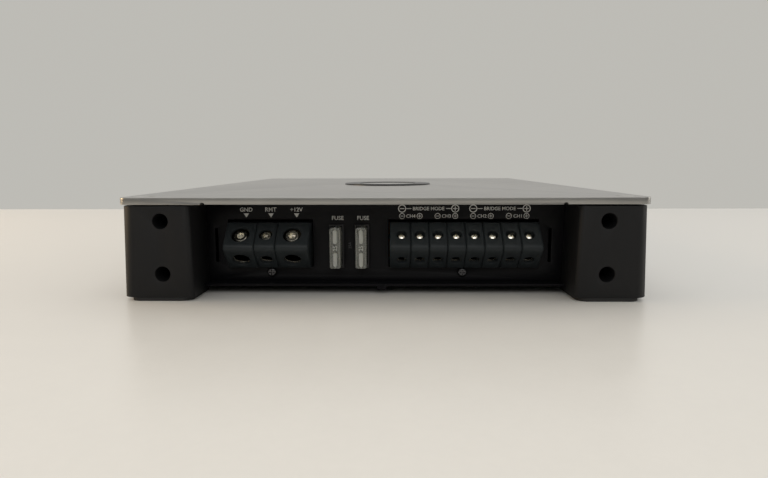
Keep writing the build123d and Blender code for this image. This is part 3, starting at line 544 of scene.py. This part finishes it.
def fuse_body(side):
    """The moulding with its dished front and hollow back, and the relief on the front."""
    node = f"fuse_{side}_body"
    low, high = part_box(node)
    shape = box_shape(low, high)
    round_off(shape, edges_along(shape, 1), 0.8, 4)
    round_off(shape, list(foremost(shape).edges), 0.25, 2)
    front = foremost(shape)
    bmesh.ops.inset_region(shape, faces=[front], thickness=FRONT_RIM * MM)
    bmesh.ops.inset_region(shape, faces=[front], thickness=0.12 * MM, depth=-FRONT_DISH * MM)
    back = max(shape.faces, key=lambda face: face.calc_center_median().y)
    side_wall = (high.x - low.x - CAVITY_WIDTH * MM) / 2
    bmesh.ops.inset_region(shape, faces=[back], thickness=side_wall)
    hollow = bmesh.ops.extrude_discrete_faces(shape, faces=[back])["faces"]
    inward = (0, low.y - high.y + FRONT_WALL * MM, 0)
    bmesh.ops.translate(shape, verts=list(hollow[0].verts), vec=inward)
    piece = new_piece(node + "_moulding", shape, clear)
    smooth(piece, 35)
    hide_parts(node)
    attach(piece, f"fuse_{side}")
    middle = (low + high) / 2
    raised = text_mesh(RATING, 1.9, 0.25)
    raised.transform(Matrix.Rotation(math.radians(-90), 4, "Y"))
    raised.transform(Matrix.Translation((middle.x, low.y + FRONT_DISH * MM, middle.z)))
    for end in (-1, 1):
        centre = (middle.x, low.y + 0.35 * MM, middle.z + end * LOOP_DISTANCE * MM)
        add_shape(raised, front_loop(Vector(centre)))
    raised = new_piece(f"fuse_{side}_front_relief", raised, frosted)
    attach(raised, f"fuse_{side}")


def fuse_strip(side):
    """Two blades with chamfered tips, joined by a link bent into a wave."""
    node = f"fuse_{side}_element"
    low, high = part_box(node)
    blade = BLADE_WIDTH * MM
    strip = bmesh.new()
    for bottom in (low.z, high.z - blade):
        part = box_shape(Vector((low.x, low.y, bottom)), Vector((high.x, high.y, bottom + blade)))
        tips = [edge for edge in edges_along(part, 0) if edge.verts[0].co.y > high.y - 0.1 * MM]
        round_off(part, tips, 0.9, 1)
        add_shape(strip, part)
    middle = (low + high) / 2
    overlap = 0.3 * MM
    start, end = low.z + blade - overlap, high.z - blade + overlap
    ends = [strip.verts.new((middle.x, low.y + offset * MM, start)) for offset in LINK_SIDES]
    edge = strip.edges.new(ends)
    waves = [math.sin(math.tau * step / LINK_STEPS) for step in range(LINK_STEPS + 1)]
    link = []
    for before, after in zip(waves, waves[1:]):
        grown = bmesh.ops.extrude_edge_only(strip, edges=[edge])["geom"]
        moved = [part for part in grown if isinstance(part, bmesh.types.BMVert)]
        forward = LINK_WAVE * MM * (after - before)
        bmesh.ops.translate(strip, verts=moved, vec=(0, forward, (end - start) / LINK_STEPS))
        edge = next(part for part in grown if isinstance(part, bmesh.types.BMEdge))
        link += [part for part in grown if isinstance(part, bmesh.types.BMFace)]
    bmesh.ops.solidify(strip, geom=link, thickness=LINK_THICKNESS * MM)
    piece = new_piece(node + "_stamping", strip, zinc_alloy)
    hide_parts(node)
    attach(piece, f"fuse_{side}")


clear = clear_plastic("cloudy_polycarbonate", (0.50, 0.51, 0.46), 0.30, 0.22)
frosted = clear_plastic("frosted_relief", (0.66, 0.67, 0.62), 0.55, 0.30)
zinc_alloy = finish(
    "stamped_zinc", (0.62, 0.62, 0.63), 1.0, 0.30, 0.25, 0.004, stretch=(1, 0.1, 1)
)
for side in ("left", "right"):
    fuse_body(side)
    fuse_strip(side)

# ---- Input sockets and controls --------------------------------------------------------------
# Four phono sockets in one moulding with plated outer rings, four knobs on potentiometers,
# three slide switches and two lights, all standing on the board behind the input panel.
dress("phono_socket_block", moulded_black, edge=0.12)
dress("phono_socket_shells", nickel, edge=0.08)
dress("potentiometer_bodies", zinc)
dress("switch_bodies", zinc)


def tinted_ring(name, x, z, face, colour):
    """The coloured washer at the bottom of one socket's mouth."""
    shape = bmesh.new()
    lathe(shape, [(1.7, 0), (1.7, 0.5), (3.3, 0.5), (3.55, 0.3), (3.55, 0), (1.7, 0)])
    shape.transform(Matrix.Translation((x, face, z)) @ Matrix.Rotation(math.radians(-90), 4, "X"))
    ring = new_piece(name, shape, colour)
    smooth(ring, 35)
    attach(ring, "chassis")


white_ring = finish("white_socket_ring", (0.72, 0.72, 0.70), 0.0, 0.35, 0.3, 0.006, mottle=0.04)
red_ring = finish("red_socket_ring", (0.48, 0.02, 0.02), 0.0, 0.35, 0.3, 0.006, mottle=0.06)
sockets = [mount for mount in frame["record"]["mounts"] if mount["name"].startswith("phono_input")]
core_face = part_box("phono_socket_block")[1].y
between_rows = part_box("phono_socket_block")[1].z / 2 + 3 * MM
for mount in sockets:
    x, _, z = mount["pos_m"]
    colour = white_ring if z > between_rows else red_ring
    tinted_ring(mount["name"] + "_ring", x, z, core_face, colour)

soft_black = finish(
    "soft_black_plastic", (0.022, 0.022, 0.023), 0.0, 0.50, 0.2, 0.010, mottle=0.2
)
pointer_white = finish("pointer_white", (0.70, 0.70, 0.68), 0.0, 0.45, 0.3, 0.004, mottle=0.05)
for knob in ("level_knob_front", "crossover_knob_front", "level_knob_rear", "crossover_knob_rear"):
    dress(knob, soft_black)
    low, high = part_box(knob)
    middle = (low + high) / 2
    radius = (high.z - low.z) / 2
    half_width = 0.38 * MM
    inlay_low = Vector((middle.x - half_width, high.y - 0.5 * MM, middle.z))
    inlay_high = Vector((middle.x + half_width, high.y - 0.05 * MM, middle.z + radius - 0.6 * MM))
    pointer = new_piece(knob + "_pointer", box_shape(inlay_low, inlay_high), pointer_white)
    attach(pointer, knob)
for slider in ("input_switch_slider", "mode_switch_front_slider", "mode_switch_rear_slider"):
    dress(slider, soft_black, edge=0.1)

lens = clear_plastic("light_lens", (0.75, 0.85, 0.75), 0.2, 0.15)
dress("indicator_lights", lens)

# ---- End panels ------------------------------------------------------------------------------
# Steel sheets painted matt black and held in grooves in the posts. The legends are screen
# printed in pale grey: generic functions only, with a ring for each terminal's polarity.
matt_paint = finish(
    "matt_black_paint", (0.0045, 0.0045, 0.0055), 0.0, 0.45, 0.35, 0.010, mottle=0.2, sheen=0.14
)
dress("power_end_panel", matt_paint, edge=0.12)
dress("input_end_panel", matt_paint, edge=0.12)
dress("panel_screws", black_oxide)
INK = 0.04


class Printing:
    """Legends gathered into one thin sheet of ink on a panel's face."""

    def __init__(self, panel, side):
        low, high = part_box(panel)
        self.face = low.y if side < 0 else high.y
        self.side = side
        self.ink = bmesh.new()

    def add(self, shape, x, z):
        """Places a shape made facing -Y at a spot given in millimetres, and keeps it."""
        if self.side > 0:
            shape.transform(Matrix.Rotation(math.pi, 4, "Z"))
        shape.transform(Matrix.Translation((x * MM, self.face, z * MM)))
        add_shape(self.ink, shape)

    def words(self, words, x, z, height=2.0, turn=0):
        shape = text_mesh(words, height, INK)
        shape.transform(Matrix.Rotation(math.radians(turn), 4, "Y"))
        self.add(shape, x, z)

    def bar(self, x, z, width, height):
        half = Vector((width / 2, 0, height / 2)) * MM
        self.add(box_shape(-half - Vector((0, INK * MM, 0)), half), x, z)

    def polarity(self, x, z, radius, positive):
        """A ring round a plus or a minus."""
        line = radius * 0.2
        shape = bmesh.new()
        inner, outer = radius - line, radius
        lathe(shape, [(inner, 0), (outer, 0), (outer, INK), (inner, INK), (inner, 0)], steps=32)
        shape.transform(Matrix.Rotation(math.radians(90), 4, "X"))
        self.add(shape, x, z)
        self.bar(x, z, radius * 1.1, line)
        if positive:
            self.bar(x, z, line, radius * 1.1)

    def arrow(self, x, z, width, height):
        """A filled triangle that points down."""
        shape = bmesh.new()
        bmesh.ops.create_circle(shape, cap_ends=True, radius=1, segments=3)
        half_turn = Matrix.Rotation(math.pi, 3, "Z")
        bmesh.ops.rotate(shape, verts=shape.verts, cent=(0, 0, 0), matrix=half_turn)
        size = (width / math.sqrt(3) * MM, height / 1.5 * MM, 1)
        bmesh.ops.scale(shape, verts=shape.verts, vec=size)
        shape.transform(Matrix.Rotation(math.radians(90), 4, "X"))
        thicken(shape, INK)
        self.add(shape, x, z)

    def done(self, name, colour):
        piece = new_piece(name, self.ink, colour)
        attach(piece, "chassis")


ink = finish("pale_ink", (0.60, 0.60, 0.58), 0.0, 0.55, 0.4, 0.003, mottle=0.08)
front = Printing("power_end_panel", -1)
name_row, arrow_row, fuse_row = 39.4, 36.9, 35.3
bridge_row, channel_row = 39.8, 36.2


def middle_x(node):
    """The middle of a node across the panel, in millimetres."""
    low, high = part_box(node)
    return (low.x + high.x) / 2 / MM


for node, words in (("ground_screw", "GND"), ("remote_screw", "RMT"), ("positive_screw", "+12V")):
    x = middle_x(node) + 1.0
    front.words(words, x, name_row)
    front.arrow(x, arrow_row, 2.6, 2.0)
for side in ("left", "right"):
    front.words("FUSE", middle_x(f"fuse_{side}_body") + 0.7, fuse_row)
rating_x = (middle_x("fuse_left_body") + middle_x("fuse_right_body")) / 2
poles = [middle_x(f"speaker_screw_{number}") for number in range(1, 9)]
for first in (0, 4):
    left, right = poles[first] + 0.3, poles[first + 3] + 0.2
    front.polarity(left, bridge_row, 1.9, False)
    front.polarity(right, bridge_row, 1.9, True)
    front.bar(left + 3.2, bridge_row, 2.4, 0.3)
    front.bar(right - 3.2, bridge_row, 2.4, 0.3)
    front.words("BRIDGE MODE", (left + right) / 2, bridge_row, height=1.7)
for channel, first in zip((4, 3, 2, 1), (0, 2, 4, 6)):
    left, right = poles[first] + 0.3, poles[first + 1] + 0.2
    front.polarity(left, channel_row, 1.4, False)
    front.polarity(right, channel_row, 1.4, True)
    front.words(f"CH{channel}", (left + right) / 2, channel_row, height=1.7)
front.done("power_end_printing", ink)
small_print = Printing("power_end_panel", -1)
small_print.words(RATING + "A", rating_x + 0.3, 22.0, height=1.4, turn=-90)
dull_ink = finish("dull_ink", (0.060, 0.060, 0.063), 0.0, 0.55, 0.4, 0.003)
small_print.done("fuse_rating_printing", dull_ink)

rear = Printing("input_end_panel", 1)
limit_row, switch_row, knob_row = 16.2, 29.0, 34.0
for names, words in (("level_knob", "LEVEL"), ("crossover_knob", "X-OVER")):
    for half in ("front", "rear"):
        x = middle_x(f"{names}_{half}")
        rear.words(words, x, knob_row)
        rear.words("MIN", x + 5.4, limit_row, height=1.3)
        rear.words("MAX", x - 5.4, limit_row, height=1.3)
for half in ("front", "rear"):
    rear.words("LP FULL HP", middle_x(f"mode_switch_{half}_slider"), switch_row, height=1.3)
rear.words("2 CH  4 CH", middle_x("input_switch_slider") + 1, switch_row, height=1.3)
for mount in sockets:
    channel = int(mount["name"][-1])
    x, _, z = (value / MM for value in mount["pos_m"])
    rear.words(f"CH{channel}", x, z + 6.2, height=1.5)
rear.done("input_end_printing", ink)

# ---- Corner posts and feet -------------------------------------------------------------------
# Die-cast aluminium posts with a fine matt black powder coat. Each is drawn to the heatsink by
# two screws at the bottom of deep holes, and stands on a rubber foot.
powder = finish(
    "black_powder_coat", (0.0075, 0.0075, 0.0080), 0.0, 0.55, 0.45, 0.020, mottle=0.2, sheen=0.25
)
# Lighter broken patches along the edges: partly wear, partly painted highlight.
paint_edge_highlight_and_wear(powder, (0.06, 0.06, 0.06), 0.35)
for post in ("front_left_post", "front_right_post", "rear_left_post", "rear_right_post"):
    dress(post, powder, edge=0.35, segments=3)
dress("post_screws", black_oxide)
rubber = finish("black_rubber", (0.014, 0.014, 0.014), 0.0, 0.72, 0.4, 0.02, mottle=0.2)
dress("rubber_feet", rubber, edge=0.3)

# ---- Top plate -------------------------------------------------------------------------------
# A slab of aluminium, brushed across its width and clear anodised, with a milled chamfer all
# round. Hidden screws hold it from below; the corner holes take the mounting screws.
brushed = finish(
    "brushed_aluminium", (0.33, 0.325, 0.31), 1.0, 0.34, 0.22, 0.004,
    stretch=(0.012, 1, 1), mottle=0.10, uneven=0.07,
)


def bright_underside(material, level):
    """Leaves the rolled finish bright below a level, where the plate was never brushed."""
    nodes, links = material.node_tree.nodes, material.node_tree.links
    shader = nodes["Principled BSDF"]
    place = nodes.new("ShaderNodeTexCoord")
    axes = nodes.new("ShaderNodeSeparateXYZ")
    links.new(place.outputs["Object"], axes.inputs["Vector"])
    above = nodes.new("ShaderNodeMapRange")
    above.inputs["From Min"].default_value = level - 0.02 * MM
    above.inputs["From Max"].default_value = level + 0.02 * MM
    links.new(axes.outputs["Z"], above.inputs["Value"])
    rolled_finish = (("Base Color", "RGBA", (0.80, 0.80, 0.78, 1)), ("Roughness", "FLOAT", 0.15))
    for socket, kind, rolled in rolled_finish:
        mix = nodes.new("ShaderNodeMix")
        mix.data_type = kind
        first, second, result = (6, 7, 2) if kind == "RGBA" else (2, 3, 0)
        mix.inputs[first].default_value = rolled
        links.new(above.outputs["Result"], mix.inputs[0])
        links.new(shader.inputs[socket].links[0].from_socket, mix.inputs[second])
        links.new(mix.outputs[result], shader.inputs[socket])


bright_underside(brushed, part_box("top_plate")[0].z + 0.06 * MM)
dress("top_plate", brushed, edge=0.08)
dress("top_plate_screws", zinc)

# ---- Badge -----------------------------------------------------------------------------------
# A plain round medallion let into the plate: a dark anodised ring with turned grooves, and a
# lighter turned disc pressed into it.
low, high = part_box("badge")
badge_middle = (low + high) / 2
badge_radius = (high.x - low.x) / 2 / MM
badge_height = (high.z - low.z) / MM
ring_inner = 20.0


def badge_part(name, outline, material):
    shape = bmesh.new()
    lathe(shape, outline, steps=128)
    shape.transform(Matrix.Translation((badge_middle.x, badge_middle.y, low.z)))
    piece = new_piece(name, shape, material)
    smooth(piece, 30)
    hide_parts("badge")
    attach(piece, "chassis")


ring_outline = [(ring_inner, 0), (badge_radius, 0), (badge_radius, badge_height - 0.4)]
ring_outline += [(badge_radius - 0.4, badge_height), (badge_radius - 2.6, badge_height)]
for groove in range(3):
    edge = badge_radius - 2.8 - 1.5 * groove
    floor_height = badge_height - 0.2
    ring_outline += [(edge, floor_height), (edge - 0.5, floor_height)]
    ring_outline += [(edge - 0.7, badge_height - 0.05)]
ring_outline += [(ring_inner + 0.3, badge_height - 0.1), (ring_inner, badge_height - 0.4)]
ring_outline += [(ring_inner, 0)]
dark_ring = finish(
    "dark_anodised_ring", (0.030, 0.030, 0.030), 0.5, 0.30, 0.3, 0.004, mottle=0.2
)
badge_part("badge_ring", ring_outline, dark_ring)

crest, valley = badge_height - 0.55, badge_height - 0.7
disc_outline = [(0, 0), (ring_inner - 0.05, 0), (ring_inner - 0.05, valley)]
for groove in range(6):
    edge = ring_inner - 0.6 - 2.9 * groove
    disc_outline += [(edge, crest), (edge - 2.4, crest), (edge - 2.6, valley)]
disc_outline += [(0, crest)]
turned = finish("turned_aluminium", (0.33, 0.33, 0.32), 1.0, 0.36, 0.3, 0.004)
badge_part("badge_disc", disc_outline, turned)

# ---- Floor and backdrop ----------------------------------------------------------------------
# A pale laminate table top with a slight sheen, whose back edge stands clear of the object.
# Nothing but the pale room is behind it.
table_top = finish("pale_table_top", (0.665, 0.655, 0.625), 0.0, 0.32, 3.0, 0.02, mottle=0.02)
table_low, table_high = Vector((-1.3, -1.3, -0.03)), Vector((1.3, 0.37, 0))
floor = new_piece("floor", box_shape(table_low, table_high), table_top)

# ---- Light -----------------------------------------------------------------------------------
# Broad soft lamps over the table and in front of it, with a warm glow from the left and a
# fainter one from the right. The room gets paler upwards and towards the back, and what
# the camera sees of it directly is a plain wall.


def area_light(name, place, target, size, power, colour):
    lamp = bpy.data.lights.new(name, "AREA")
    lamp.shape = "RECTANGLE"
    lamp.size, lamp.size_y = size
    lamp.energy = power
    lamp.color = colour
    light = bpy.data.objects.new(name, lamp)
    light.location = place
    light.rotation_euler = (Vector(target) - Vector(place)).to_track_quat("-Z", "Y").to_euler()
    bpy.context.scene.collection.objects.link(light)


area_light("ceiling", (0, 0.1, 1.5), (0, 0, 0), (1.8, 1.6), 4, (1, 0.99, 0.97))
area_light("front_softbox", (0, -1.9, 1.1), (0, -0.15, 0), (1.6, 0.8), 8, (1, 0.99, 0.97))
area_light("warm_side", (-1.0, -0.1, 0.35), (0, 0, 0), (0.5, 0.5), 5.0, (1, 0.72, 0.42))
area_light("faint_side", (1.0, -0.1, 0.35), (0, 0, 0), (0.5, 0.5), 2.0, (1, 0.95, 0.88))

world = bpy.data.worlds.new("pale_room")
bpy.context.scene.world = world
world.use_nodes = True
nodes, links = world.node_tree.nodes, world.node_tree.links
room = nodes["Background"]
room.inputs["Color"].default_value = (1.0, 0.985, 0.95, 1)
direction = nodes.new("ShaderNodeTexCoord")
axes = nodes.new("ShaderNodeSeparateXYZ")
links.new(direction.outputs["Generated"], axes.inputs["Vector"])
glow = nodes.new("ShaderNodeMath")
towards_back, upwards = ("Y", -0.7, 0.6, 0.13, 0.48), ("Z", 0.20, 0.45, 0.0, 0.45)
for term, (axis, start, end, dim, bright) in enumerate((towards_back, upwards)):
    ramp = nodes.new("ShaderNodeMapRange")
    ramp.inputs["From Min"].default_value = start
    ramp.inputs["From Max"].default_value = end
    ramp.inputs["To Min"].default_value = dim
    ramp.inputs["To Max"].default_value = bright
    links.new(axes.outputs[axis], ramp.inputs["Value"])
    links.new(ramp.outputs["Result"], glow.inputs[term])
links.new(glow.outputs["Value"], room.inputs["Strength"])
wall = nodes.new("ShaderNodeBackground")
wall.inputs["Color"].default_value = (0.51, 0.50, 0.465, 1)
rays = nodes.new("ShaderNodeLightPath")
seen = nodes.new("ShaderNodeMath")
seen.operation = "MAXIMUM"
links.new(rays.outputs["Is Camera Ray"], seen.inputs[0])
links.new(rays.outputs["Is Transmission Ray"], seen.inputs[1])
choose = nodes.new("ShaderNodeMixShader")
links.new(seen.outputs["Value"], choose.inputs["Fac"])
links.new(room.outputs["Background"], choose.inputs[1])
links.new(wall.outputs["Background"], choose.inputs[2])
links.new(choose.outputs["Shader"], nodes["World Output"].inputs["Surface"])
bpy.context.scene.view_settings.view_transform = "Standard"

# ---- Camera ----------------------------------------------------------------------------------
# A hand-held camera a quarter of a metre in front of the power end, just above the plate and
# tilted down a little.
camera_place = Vector((4.95, -412.2, 61.3)) * MM
heading = math.radians(-1.05)
tilt = math.radians(7.47)
roll = math.radians(-0.14)
camera_data = bpy.data.cameras.new("camera")
camera_data.sensor_width = 36
camera_data.lens = 27.05
camera_data.clip_start = 0.01
level = math.cos(tilt)
forward = Vector((math.sin(heading) * level, math.cos(heading) * level, -math.sin(tilt)))
level_right = Vector((math.cos(heading), -math.sin(heading), 0))
level_up = level_right.cross(forward)
right = level_right * math.cos(roll) + level_up * math.sin(roll)
up = level_up * math.cos(roll) - level_right * math.sin(roll)
camera = bpy.data.objects.new("camera", camera_data)
turned_to = Matrix((right, up, -forward)).transposed().to_4x4()
camera.matrix_world = Matrix.Translation(camera_place) @ turned_to
bpy.context.scene.collection.objects.link(camera)
bpy.context.scene.camera = camera
